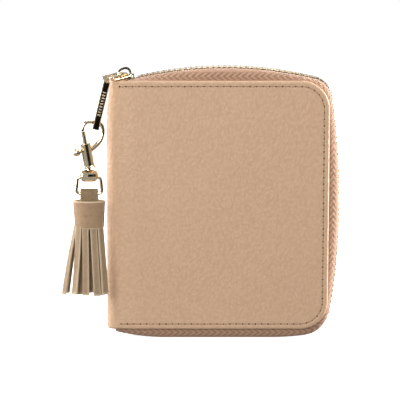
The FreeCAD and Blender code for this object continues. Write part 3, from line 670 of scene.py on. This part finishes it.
def make_tape(side, name):
    """One half of the zip tape: a herringbone stripe by the cover and a ribbed band by the teeth."""
    walk = chain_line(TAPE_STEP)
    columns = 34
    outer, under, uv, groove_shade = [], [], [], []
    for i, (x, z) in enumerate(walk):
        edge, way, bulge = rim_frame(x, z)
        line = tape_profile(bulge, max(0.0, -way[1]) ** 2)
        lengths = np.concatenate([[0], np.cumsum(np.linalg.norm(np.diff(line, axis=0), axis=1))])
        at = np.linspace(0, lengths[-1], columns)
        y = np.interp(at, lengths, line[:, 0])
        n = np.interp(at, lengths, line[:, 1])
        from_edge = at - np.interp(0.0, n[:columns // 2 + 4], at[:columns // 2 + 4])
        run = np.gradient(np.stack([y, n], -1), axis=0)
        run /= np.linalg.norm(run, axis=1)[:, None]
        off_y, off_n = run[:, 1], -run[:, 0]
        s = i * TAPE_STEP
        low, high = HERRINGBONE
        inside = smooth_step(low - 0.25, low + 0.1, from_edge)
        inside = inside * (1 - smooth_step(high - 0.1, high + 0.3, from_edge))
        slant = np.abs(from_edge - (low + high) / 2) / 1.1
        twill = 0.5 + 0.5 * np.sin(2 * math.pi * (s / 2.8 - slant * 0.55))
        ribs = 0.5 + 0.5 * math.cos(2 * math.pi * s / 0.9)
        rail = np.exp(-((from_edge - high - 0.25) / 0.22) ** 2)
        dip = inside * (1 - twill) ** 2
        lift = TAPE / 2 + 0.10 * inside * twill + 0.03 * (1 - inside) * ribs - 0.08 * rail - 0.10 * dip
        # Painted shade: darker in the twill's dips, along the rail and between the ribs.
        groove_shade.append(np.clip(0.85 * dip + 0.45 * rail + 0.12 * (1 - inside) * (1 - ribs), 0, 1))
        for target, thick in ((outer, lift), (under, np.full(columns, -TAPE / 2))):
            yy, nn = y + off_y * thick, n + off_n * thick
            target.append(np.stack([edge[0] + way[0] * nn, side * yy, edge[1] + way[1] * nn], -1))
        uv.append(np.stack([np.full(columns, s), at], -1) * MM)
    points, faces = slab(np.array(outer), np.array(under))
    flat_uv = np.tile(np.array(uv).reshape(-1, 2), (2, 1))
    return piece(name, points, faces, tape_cloth, "zip_tape", flat_uv, {"groove_shade": both(groove_shade)})


def trim_for_slider(tape):
    """Opens the back half under the parked slider, where the two halves are still apart."""
    low, high = box_mm("slider_top_plate")
    shape = bmesh.new()
    shape.from_mesh(tape.data)
    right, floor = (high.x + 3.0) * MM, (low.z - 6.0) * MM
    doomed = [v for v in shape.verts if v.co.x < right and v.co.z > floor and abs(v.co.y) < 6.0 * MM]
    bmesh.ops.delete(shape, geom=doomed, context="VERTS")
    holes = [e for e in shape.edges if e.is_boundary]
    bmesh.ops.holes_fill(shape, edges=holes, sides=0)
    shape.to_mesh(tape.data)
    shape.free()


def make_zip():
    front = make_tape(-1, "front_tape")
    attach(front, "front")
    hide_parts("front_zip_tape")
    back = make_tape(1, "back_tape")
    trim_for_slider(back)
    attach(back, "back")
    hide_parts("back_zip_tape")


# Inside: linings and pockets


def rounded_outline(x, z, radii, points=7):
    """Corner points of a rectangle with four radii: low left, low right, high right, high left."""
    loop = []
    for (cx, cz, start), radius in zip(
            ((x[0], z[0], 180), (x[1], z[0], 270), (x[1], z[1], 0), (x[0], z[1], 90)), radii):
        inner_x = cx + radius * (1 if cx == x[0] else -1)
        inner_z = cz + radius * (1 if cz == z[0] else -1)
        for step in range(points):
            angle = math.radians(start + 90 * step / (points - 1))
            loop.append((inner_x + radius * math.cos(angle), inner_z + radius * math.sin(angle)))
    return np.array(loop)


def moved_in(outline, inset):
    """An outline scaled towards its middle, so that its sides move in by an inset."""
    centre = outline.mean(axis=0)
    size = (outline.max(axis=0) - outline.min(axis=0)) / 2
    return centre + (outline - centre) * (1 - inset / size)


def fine_loop(loop, longest):
    """The same closed outline with its long sides divided."""
    fine = []
    for first, second in zip(loop, np.roll(loop, -1, axis=0)):
        parts = max(1, math.ceil(np.linalg.norm(second - first) / longest))
        fine += [first + (second - first) * i / parts for i in range(parts)]
    return np.array(fine)


def panel(name, node, material, slot, body, radii, stitch=None, thin=1):
    """A flat sewn ply in the space of a CAD node, with rolled edges, thin along Y or along X."""
    low, high = box_mm(node)
    wide = 1 - thin
    middle, half = (low[thin] + high[thin]) / 2, (high[thin] - low[thin]) / 2
    loop = rounded_outline((low[wide], high[wide]), (low.z, high.z), radii)
    if thin == 0:
        loop = fine_loop(loop, 4.0)
    rolls = [math.radians(a) for a in range(-90, 91, 30)]
    rings = [(half * (1 - math.cos(a)), half * math.sin(a)) for a in rolls]
    points = []
    for inset, lift in rings:
        for a, z in moved_in(loop, inset):
            upright = (middle + lift + spine_lean(middle, z), a, z)
            points.append((a, middle + lift, z) if thin == 1 else upright)
    count = len(loop)
    faces = grid_faces(len(rings), count, wrap=True)
    faces.append(tuple(reversed(range(count))))
    faces.append(tuple(range((len(rings) - 1) * count, len(rings) * count)))
    uv = np.array([(p[wide], p[2]) for p in points]) * MM
    ply = piece(name, points, faces, material, slot, uv, sharp=35)
    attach(ply, body)
    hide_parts(node)
    if stitch:
        outward, inset = stitch
        walk = [(low.x + inset, high.z - inset), (high.x - inset, high.z - inset)]
        sew(name + "_stitches", walk, low.y if outward < 0 else high.y, outward, body, 2.6, 0.13, 0.0)


def ringed_sheet(name, section, outer, hole, material, body, node):
    """A sheet with a hole: each ring of its section is (inset, share of the way to the hole, y)."""
    points = []
    for inset, share, y in section:
        edge = moved_in(outer, inset)
        points += [(x, y, z) for x, z in edge + (hole - edge) * share]
    count = len(outer)
    faces = grid_faces(len(section), count, wrap=True)
    last = (len(section) - 1) * count
    faces += [(last + i, last + (i + 1) % count, (i + 1) % count, i) for i in range(count)]
    sheet = piece(name, points, faces, material, "pocket_leather", np.array(points)[:, [0, 2]] * MM, sharp=40)
    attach(sheet, body)
    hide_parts(node)


def loop_walk(outline, inset):
    """A closed walk along an outline, moved in towards its middle."""
    inner = moved_in(outline, inset)
    return [tuple(p) for p in inner] + [tuple(inner[0])]


def make_coin_pocket():
    """A flat gusseted pouch with a turned edge all round and a turned lip at its zip."""
    low, high = box_mm("coin_pocket")
    tape_low, tape_high = box_mm("coin_zip_tape")
    outer = rounded_outline((low.x, high.x), (low.z, high.z), (1.0, 7.5, 7.5, 1.0), 9)
    hole = rounded_outline((tape_low.x + 0.2, tape_high.x - 0.2), (tape_low.z + 0.8, tape_high.z - 0.8),
                           (0.8,) * 4, 9)
    face, back, ply = low.y, high.y, 0.5
    section = [(0.0, 0.0, back), (0.0, 0.0, face + 1.2), (0.12, 0.0, face + 0.5),
               (0.5, 0.0, face + 0.12), (1.2, 0.0, face)]
    section += [(1.2, share, face) for share in (0.1, 0.4, 0.8, 0.97)]
    section += [(1.2, 1.0, face + 0.12), (1.2, 1.0, face + ply - 0.1),
                (1.2, 0.97, face + ply), (1.2, 0.05, face + ply)]
    section += [(ply, 0.0, face + 1.4), (ply, 0.0, back - ply), (12.0, 0.2, back - ply), (12.0, 0.2, back)]
    ringed_sheet("coin_pouch", section, outer, hole, inner_leather, "back", "coin_pocket")
    sew("coin_pouch_stitches", loop_walk(outer, 2.2), face, -1, "back", 2.6, 0.13, 0.0)
    sew("coin_mouth_stitches", loop_walk(hole, -1.3), face, -1, "back", 2.6, 0.13, 0.0)
    make_coin_zip(tape_low, tape_high)


def make_coin_zip(low, high):
    """The coin zip's two ribbed tapes and its nylon coil."""
    tapes = Batch()
    middle = (low.z + high.z) / 2
    across = np.linspace(0, 1, 9)
    for start, end in ((low.z, middle - 0.9), (middle + 0.9, high.z)):
        xs = np.arange(low.x, high.x + 0.01, 0.4)
        ribs = 0.04 * np.cos(2 * math.pi * xs / 0.8)[:, None] * np.sin(math.pi * across)[None]
        z = start + (end - start) * across
        top = [[(x, low.y + 0.05 - ribs[i, j], z[j]) for j in range(9)] for i, x in enumerate(xs)]
        under = [[(x, high.y, z[j]) for j in range(9)] for x in xs]
        tapes.add(*slab(np.array(top), np.array(under)))
    cloth = piece("coin_tape", tapes.points, tapes.faces, tape_cloth, "zip_tape",
                  np.array(tapes.points)[:, [0, 2]] * MM, sharp=50)
    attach(cloth, "back")
    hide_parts("coin_zip_tape")
    coil_low, coil_high = box_mm("coin_zip_coil")
    centre = (coil_low + coil_high) / 2
    deep, tall = (coil_high.y - coil_low.y) / 2 - 0.15, (coil_high.z - coil_low.z) / 2 - 0.15
    turns = round(coil_high.x - coil_low.x)
    path = []
    for step in range(turns * 12 + 1):
        angle = 2 * math.pi * step / 12
        x = coil_low.x + 0.2 + (coil_high.x - coil_low.x - 0.4) * step / (turns * 12)
        path.append((x, centre.y + deep * math.cos(angle), centre.z + tall * math.sin(angle)))
    coil = piece("coin_coil", *tube(path, 0.17, 8), coil_plastic, "coil")
    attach(coil, "back")
    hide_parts("coin_zip_coil")


def make_window():
    """The identity window's leather frame, sewn round its opening."""
    low, high = box_mm("id_window_frame")
    film_low, film_high = box_mm("id_window_film")
    outer = rounded_outline((low.x, high.x), (low.z, high.z), (2.0,) * 4, 9)
    hole = rounded_outline((film_low.x - 0.2, film_high.x + 0.2), (film_low.z - 0.2, film_high.z + 0.2),
                           (1.5,) * 4, 9)
    front, back = low.y, high.y
    bevel = (back - front) / 3
    section = [(0.0, 0.0, back - bevel), (0.0, 0.0, front + bevel), (bevel, 0.0, front), (bevel, 0.3, front),
               (bevel, 0.96, front), (bevel, 1.0, front + bevel), (bevel, 1.0, back - bevel),
               (bevel, 0.96, back), (bevel, 0.0, back)]
    ringed_sheet("window_frame", section, outer, hole, inner_leather, "back", "id_window_frame")
    sew("window_stitches", loop_walk(hole, -1.4), front, -1, "back", 2.2, 0.12, 0.0)


def make_inside():
    corner = 8.0
    for body in ("front", "back"):
        panel(f"{body}_lining_cloth", f"{body}_lining", lining_cloth, "lining", body,
              (0.5, corner, corner, 0.5))
    panel("spine_lining_cloth", "spine_lining", lining_cloth, "lining", "spine", (0.3,) * 4, thin=0)
    panel("bill_sheet", "bill_pocket", inner_leather, "pocket_leather", "front",
          (0.6, corner, corner, 0.6), (1, 1.6))
    for prefix, slots, body, outward in (("", 4, "front", 1), ("back_", 2, "back", -1)):
        for i in range(1, slots + 1):
            panel(f"{prefix}card_sheet_{i}", f"{prefix}card_slot_{i}", inner_leather, "pocket_leather", body,
                  (0.6, 1.0, 1.0, 0.6), (outward, 1.6))
    make_coin_pocket()
    make_window()


# Tassel

STRAP_LOW, STRAP_HIGH = box_mm("tassel_strap")
CAP_LOW, CAP_HIGH = box_mm("tassel_cap")
TASSEL_X, TASSEL_Y = (CAP_LOW.x + CAP_HIGH.x) / 2, (CAP_LOW.y + CAP_HIGH.y) / 2
CAP_RADII = (7.05, 4.85)
CAP_WALL = 1.3
STRIP_WALL = 1.05
EYE_Z = STRAP_HIGH.z - 2.15


def rolled_sheet(name, turn_from, turn_to, low, high, radii, wall, growth, waist, material, lumps=0.0):
    """A strip of leather rolled about the tassel's axis, its radius growing along the turn."""
    turns = np.radians(np.arange(turn_from, turn_to + 0.1, 6.0))
    levels = np.concatenate([[0, 0.02, 0.05], np.linspace(0.1, 0.9, 9), [0.95, 0.98, 1]])
    share = (turns - turns[0]) / (turns[-1] - turns[0])
    outer, under, cut = [], [], []
    for level in levels:
        squeeze = waist + (1 - waist) * level
        round_off = 0.16 * (1 - min(1.0, min(level, 1 - level) / 0.05)) ** 2
        ripple = lumps * np.sin(3 * turns + 5 * level) * math.sin(math.pi * level)
        for target, reach in ((outer, -round_off), (under, -wall + round_off)):
            grow = reach + growth * share + ripple
            x = TASSEL_X + (radii[0] * squeeze + grow) * np.cos(turns)
            y = TASSEL_Y + (radii[1] * squeeze + grow) * np.sin(turns)
            target.append(np.stack([x, y, np.full(turns.shape, low + (high - low) * level)], -1))
        end = np.maximum(share < 0.012, share > 0.988)
        rim = 1.0 if level in (0, 1) else (0.6 if min(level, 1 - level) < 0.03 else 0.0)
        cut.append(np.maximum(end * 1.0, rim))
    points, faces = slab(np.array(outer), np.array(under))
    uv = points[:, [0, 2]] * MM
    marks = {"cut": both(cut)}
    sheet = piece(name, points, faces, material, "strap_leather", uv, marks, 40)
    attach(sheet, "tassel")
    return sheet


def make_strap():
    """The strap doubled over the swivel's eye, its two legs going down into the cap."""
    inner = 0.95
    wall = STRAP_HIGH.z - EYE_Z - inner
    low = STRAP_LOW.z
    legs = np.linspace(low, EYE_Z, 8)[:-1]
    reach = inner + wall / 2
    centre = [(-reach, z, (-1, 0)) for z in legs]
    for step in range(13):
        angle = math.radians(180 - 15 * step)
        out_y, out_z = math.cos(angle), math.sin(angle)
        centre.append((reach * out_y, EYE_Z + reach * out_z, (out_y, out_z)))
    centre += [(reach, z, (1, 0)) for z in legs[::-1]]
    half = (STRAP_HIGH.x - STRAP_LOW.x) / 2
    across = [-half, -half + 0.12, -half + 0.35] + list(np.linspace(-half + 1, half - 1, 7))
    across += [half - 0.35, half - 0.12, half]
    outer, under, cut = [], [], []
    for y, z, (ny, nz) in centre:
        for target, sign in ((outer, 1), (under, -1)):
            row = []
            for x in across:
                rim = 0.22 * (1 - min(1.0, (half - abs(x)) / 0.35)) ** 2
                off = sign * (wall / 2 - rim)
                row.append((TASSEL_X + x, TASSEL_Y + y + ny * off, z + nz * off))
            target.append(row)
        cut.append([1.0 if half - abs(x) < 0.2 else 0.0 for x in across])
    points, faces = slab(np.array(outer), np.array(under))
    strap = piece("strap_loop", points, faces, strap_leather, "strap_leather", points[:, [0, 2]] * MM,
                  {"cut": both(cut)}, 40)
    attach(strap, "tassel")
    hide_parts("tassel_strap")


# Fringe strips seen from the front: top and bottom X from the tassel's axis, width, and Y at top and bottom
FRONT_STRIPS = (
    (-6.0, -11.3, 2.2, -1.6, -2.2), (-4.5, -6.4, 3.1, -3.2, -4.0), (-1.6, -1.3, 3.0, -4.0, -4.7),
    (1.9, 3.4, 3.1, -3.8, -4.4), (4.9, 6.6, 3.2, -2.4, -3.0),
)


def strip_points(top, bottom, width, thickness, facing, twist, bow):
    """A cut strip between two points, gently bowed and twisted, as a closed slab."""
    outer, under, cut = [], [], []
    across = (-1.0, -0.93, -0.78, -0.4, 0.0, 0.4, 0.78, 0.93, 1.0)
    top, bottom = Vector(top), Vector(bottom)
    for step in range(21):
        share = step / 20
        turn = facing + twist * share
        side = Vector((-math.sin(turn), math.cos(turn), 0))
        out = Vector((math.cos(turn), math.sin(turn), 0))
        flare = bow * math.sin(math.pi * share) + 0.5 * share * share
        centre = top.lerp(bottom, share ** 0.92) + out * flare
        spread_to = width / 2 * (0.94 + 0.1 * share)
        for target, sign in ((outer, 1), (under, -1)):
            row = []
            for a in across:
                half = thickness / 2 * (1 - 0.5 * max(0, abs(a) - 0.7) / 0.3)
                row.append(centre + side * (spread_to * a) + out * (sign * half + 0.12 * a * a))
            target.append(row)
        tip = 1.0 if step == 20 else 0.0
        cut.append([max(tip, smooth_edge(a)) for a in across])
    return np.array(outer), np.array(under), np.array(cut)


def smooth_edge(a):
    return 1.0 if abs(a) > 0.9 else (0.35 if abs(a) > 0.7 else 0.0)


def make_fringe():
    """Cut strips round the core: five across the front, five closer in behind, three inside, one right."""
    draw = random.Random(11)
    low, high = box_mm("tassel_fringe")
    top_z, bottom_z = high.z + 1.2, low.z
    strips = []
    for x_top, x_low, width, y_top, y_low in FRONT_STRIPS:
        facing = math.atan2(y_top / 12, x_top / 30)
        strips.append((x_top, y_top, x_low, y_low, width, facing, draw.uniform(-0.4, 0.5)))
        strips.append((x_top * 0.96, -y_top * 0.85, x_low * 0.86, -y_low * 0.78, width, -facing,
                       draw.uniform(-0.9, 0.5)))
    for x in (-3.4, 0.4, 3.6):
        strips.append((x, 0.0, x * 1.3, draw.uniform(-0.4, 0.4), 2.6, math.pi / 2, draw.uniform(-1, 0.6)))
    strips.append((5.6, 0.0, 5.9, 0.0, 2.4, 0.0, 0.0))
    cuts, batch = [], Batch()
    for x, y, x_low, y_low, width, facing, drop in strips:
        top = (TASSEL_X + x, TASSEL_Y + y, top_z)
        tip = (TASSEL_X + x_low, TASSEL_Y + y_low, bottom_z - 0.5 + drop)
        twist, bow = draw.uniform(-0.35, 0.35), draw.uniform(-0.2, 0.5)
        outer, under, cut = strip_points(top, tip, width, STRIP_WALL, facing, twist, bow)
        batch.add(*slab(outer, under))
        cuts += [cut.ravel(), cut.ravel()]
    uv = np.array(batch.points)[:, [0, 2]] * MM
    fringe = piece("fringe_strips", batch.points, batch.faces, suede, "strap_leather", uv,
                   {"cut": np.concatenate(cuts)}, 40)
    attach(fringe, "tassel")
    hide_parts("tassel_fringe")


def make_tassel():
    cap = rolled_sheet("rolled_cap", -40, 335, CAP_LOW.z, CAP_HIGH.z, CAP_RADII, CAP_WALL, 0.5, 0.9,
                       tassel_leather, 0.05)
    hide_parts("tassel_cap")
    core = rolled_sheet("rolled_core", 0, 640, CAP_LOW.z - 0.3, CAP_HIGH.z - 2.4, (3.4, 1.9), 0.9, 1.9,
                        0.96, suede)
    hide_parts("tassel_core")
    make_strap()
    make_fringe()


# Metal fittings and the window's film keep their CAD meshes and get their finish here

BAR_TILT, BAR_TURN = math.radians(14.0), math.radians(20.0)
BAR_TOP = Vector((-49.3, -15.3, 119.1))
BAR_HALF = 1.6
RIB_RUN = (5.75, 17.25)
RIBS = 9
RIB_HALF = 0.62


def make_bar_ribs():
    """Satin pads on the ribs of the bar's face."""
    tilt_sin, tilt_cos, turn_cos = math.sin(BAR_TILT), math.cos(BAR_TILT), math.cos(BAR_TURN)
    down = Vector((-tilt_sin, 0, -tilt_cos))
    side = Vector((tilt_cos * turn_cos, math.sin(BAR_TURN), -tilt_sin * turn_cos))
    face = down.cross(side)
    pitch = (RIB_RUN[1] - RIB_RUN[0]) / RIBS
    pads = Batch()
    across = np.array([-1.0, -0.9, -0.5, 0.0, 0.5, 0.9, 1.0])
    for i in range(RIBS):
        top, under = [], []
        for share in (0.0, 0.12, 0.5, 0.88, 1.0):
            at = BAR_TOP + down * (RIB_RUN[0] + pitch * (i + 0.25 + 0.5 * share))
            crown = 0.09 * math.sin(math.pi * min(max(share, 0.04), 0.96)) ** 0.4
            row = [at + side * (RIB_HALF * a) for a in across]
            rise = BAR_HALF - 0.05 + crown * (1 - np.abs(across) ** 6)
            top.append([p + face * lift for p, lift in zip(row, rise)])
            under.append([p + face * (BAR_HALF - 0.3) for p in row])
        pads.add(*slab(np.array(top), np.array(under)))
    ribs = piece("bar_ribs", pads.points, pads.faces, satin_gold, "gold_metal", sharp=60)
    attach(ribs, "bar")


def make_spring():
    """A copy of the bolt's spring with a mesh of its own, on the hook."""
    wire = nodes["snap_spring"].data
    coil = piece("bolt_spring", [tuple(point.co / MM) for point in wire.vertices],
                 [tuple(face.vertices) for face in wire.polygons], steel, "spring_steel", sharp=60)
    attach(coil, "hook")
    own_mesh(coil)
    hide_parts("snap_spring")


def finish_metal():
    finishes = {
        gold: ("slider_top_plate", "slider_bottom_plate", "slider_bridge", "pull_link", "pull_bar",
               "snap_hook", "snap_bolt", "swivel_eye", "swivel_rivet", "coin_slider", "coin_puller",
               "coin_zip_stops"),
        tooth_gold: ("front_zip_teeth", "back_zip_teeth", "front_zip_stops", "back_zip_stop"),
        film: ("id_window_film",),
    }
    for material, names in finishes.items():
        for name in names:
            slots = nodes[name].data.materials
            slots.clear()
            slots.append(material)


# Stage

ROOM_LIGHT = 0.44
LOW_LIGHT = 0.45


LIGHT_AIM = Vector((0, 0, 0.06))
LIGHTS = (
    ("key", (-0.3, -0.96, 0.45), (0.5, 0.5), 8.1),
    ("side", (-0.8, 0.06, 0.25), (0.3, 0.6), 8.0),
    ("right", (0.62, 0.13, 0.16), (0.16, 0.4), 12.5),
    ("top", (0.05, 0.1, 0.95), (0.6, 0.4), 4.5),
    ("rim", (-0.95, 1.05, 0.28), (0.7, 0.5), 6.0),
)


def area_light(name, place, size, power):
    """A rectangular lamp in metres that shines on the wallet's middle."""
    light = bpy.data.lights.new(name, "AREA")
    light.shape = "RECTANGLE"
    light.size, light.size_y = size
    light.energy = power
    lamp = placed(name, light)
    lamp.location = place
    lamp.rotation_euler = (LIGHT_AIM - lamp.location).to_track_quat("-Z", "Y").to_euler()


def stage_plane(name, corners, colour, glow=0.0):
    made = Shader(name, Roughness=0.9, Base_Color=(*colour, 1), Specular_IOR_Level=0.0,
                  Emission_Color=(1, 1, 1, 1), Emission_Strength=glow)
    mesh = bpy.data.meshes.new(name)
    mesh.from_pydata(corners, [], [(0, 1, 2, 3)])
    mesh.materials.append(made.material)
    sheet = placed(name, mesh)
    return sheet


def make_room():
    """White behind the object; for its lighting, a soft even room."""
    world = bpy.data.worlds.new("room")
    world.use_nodes = True
    tree = world.node_tree
    made = tree.nodes.new
    link = tree.links.new
    seen, lit = tree.nodes["Background"], made("ShaderNodeBackground")
    seen.inputs["Color"].default_value = (1, 1, 1, 1)
    split, fade = made("ShaderNodeSeparateXYZ"), made("ShaderNodeMapRange")
    choose = made("ShaderNodeMixShader")
    link(made("ShaderNodeTexCoord").outputs["Generated"], split.inputs["Vector"])
    link(split.outputs["Z"], fade.inputs["Value"])
    levels = {"From Min": -0.15, "From Max": 0.5, "To Min": LOW_LIGHT, "To Max": ROOM_LIGHT}
    for socket, value in levels.items():
        fade.inputs[socket].default_value = value
    link(fade.outputs["Result"], lit.inputs["Strength"])
    link(made("ShaderNodeLightPath").outputs["Is Camera Ray"], choose.inputs["Fac"])
    link(lit.outputs["Background"], choose.inputs[1])
    link(seen.outputs["Background"], choose.inputs[2])
    link(choose.outputs["Shader"], tree.nodes["World Output"].inputs["Surface"])
    bpy.context.scene.world = world


def dark_card(name, start, end, low, high):
    """An upright dark panel that only shows in reflections, for contrast in the metal."""
    corners = [(*start, low), (*end, low), (*end, high), (*start, high)]
    card = stage_plane(name, corners, (0.015, 0.012, 0.01))
    card.visible_camera = card.visible_diffuse = card.visible_shadow = False


def make_stage():
    floor = cad_box[0].z
    corners = [(-6, -6, floor), (6, -6, floor), (6, 6, floor), (-6, 6, floor)]
    ground = stage_plane("floor", corners, (0.9, 0.9, 0.9), 0.7)
    ground.visible_diffuse = ground.visible_glossy = False
    dark_card("front_card", (-0.35, -1.5), (1.3, -1.0), -0.7, 0.25)
    dark_card("right_card", (1.3, -0.9), (1.3, 0.8), -0.5, 0.1)
    dark_card("back_card", (-0.6, 1.4), (0.8, 1.4), -0.5, 0.4)
    for lamp in LIGHTS:
        area_light(*lamp)
    bpy.context.scene.view_settings.view_transform = "Standard"


def make_camera():
    """The camera looks along +Y from 8 degrees above the wallet's front."""
    elevation = math.radians(8.0)
    distance = 0.7
    target = Vector((-0.0081, FACE_Y * MM, 0.0641))
    camera = placed("camera", bpy.data.cameras.new("camera"))
    camera.data.lens, camera.data.sensor_width = 140.0, 36.0
    camera.location = target + Vector((0, -math.cos(elevation), math.sin(elevation))) * distance
    camera.rotation_euler = (target - camera.location).to_track_quat("-Z", "Y").to_euler()
    bpy.context.scene.camera = camera


make_leather()
make_zip()
make_inside()
make_tassel()
finish_metal()
make_bar_ribs()
make_spring()
make_stage()
make_room()
make_camera()
